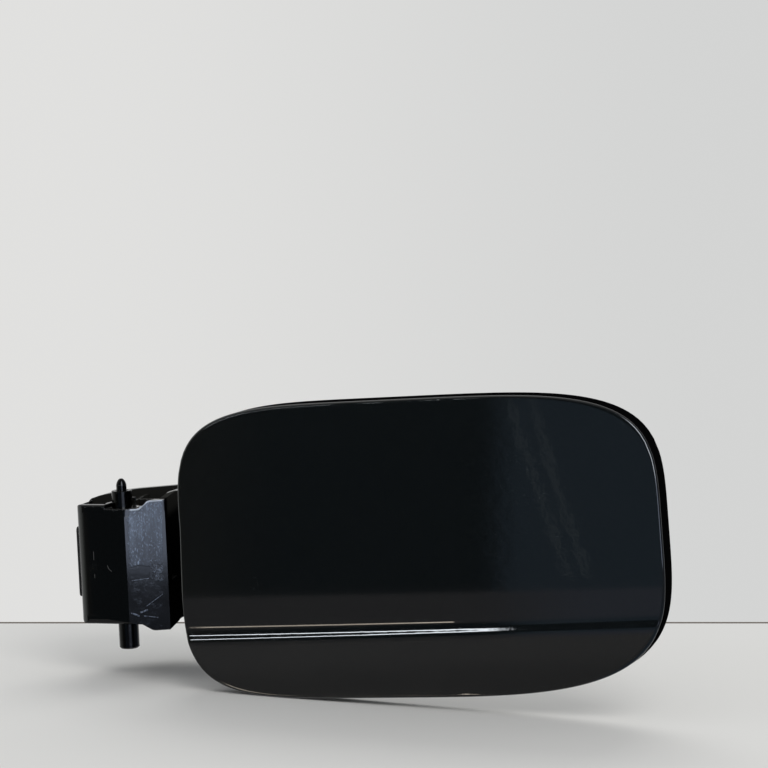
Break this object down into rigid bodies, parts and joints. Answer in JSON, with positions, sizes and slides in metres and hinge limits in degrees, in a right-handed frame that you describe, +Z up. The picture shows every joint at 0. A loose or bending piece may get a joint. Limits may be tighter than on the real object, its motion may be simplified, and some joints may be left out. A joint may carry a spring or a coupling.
{
  "type": "fuel filler flap",
  "caption": "Car fuel filler flap: painted crowned skin on a moulded carrier, with a gooseneck hinge arm that turns on a pin with a sprung locating nose.",
  "frame": {"origin": "on the hinge pin's axis, level with the underside of the arm's cam block", "axes": "+Z up along the hinge pin, +X from the pin towards the flap, -Y outwards through the painted face"},
  "size_m": [0.2594, 0.0765, 0.1219],
  "materials": {
    "grey_paint": "gloss clear coat over dark grey metallic",
    "black_gloss_plastic": "smooth moulded, rubbed on the cam track",
    "black_plastic": "fine moulded grain",
    "black_rubber": "matt",
    "dark_steel": "blackened, satin",
    "spring_steel": "bright spring steel",
    "zinc_steel": "zinc plated"
  },
  "bodies": {
    "pin": {"hinge_pin": "dark_steel", "pin_collar": "dark_steel", "pin_clip": "spring_steel", "plunger_spring": "spring_steel"},
    "nose": {"plunger": "dark_steel"},
    "flap": {"hinge_arm": "black_gloss_plastic", "arm_stop_pad": "black_rubber", "arm_screw_1": "zinc_steel", "arm_screw_2": "zinc_steel", "arm_screw_3": "zinc_steel", "arm_screw_4": "zinc_steel", "inner_carrier": "black_plastic", "outer_skin": "grey_paint", "flange_clip_1": "spring_steel", "flange_clip_2": "spring_steel", "flange_clip_3": "spring_steel", "flange_clip_4": "spring_steel", "flange_clip_5": "spring_steel", "flange_clip_6": "spring_steel", "latch_keeper": "black_plastic", "keeper_screw_1": "zinc_steel", "keeper_screw_2": "zinc_steel", "buffer_upper": "black_rubber", "buffer_lower": "black_rubber"}
  },
  "joints": [
    {"name": "flap_hinge", "type": "hinge", "parent": "pin", "child": "flap", "pos_m": [0, 0, 0], "axis": [0, 0, -1], "range_deg": [0, 88]},
    {"name": "plunger_slide", "type": "slide", "parent": "pin", "child": "nose", "axis": [0, 0, -1], "range_m": [0, 0.0045], "stiffness_N_per_m": 600, "springref_m": -0.003, "deforming": ["plunger_spring"]}
  ]
}
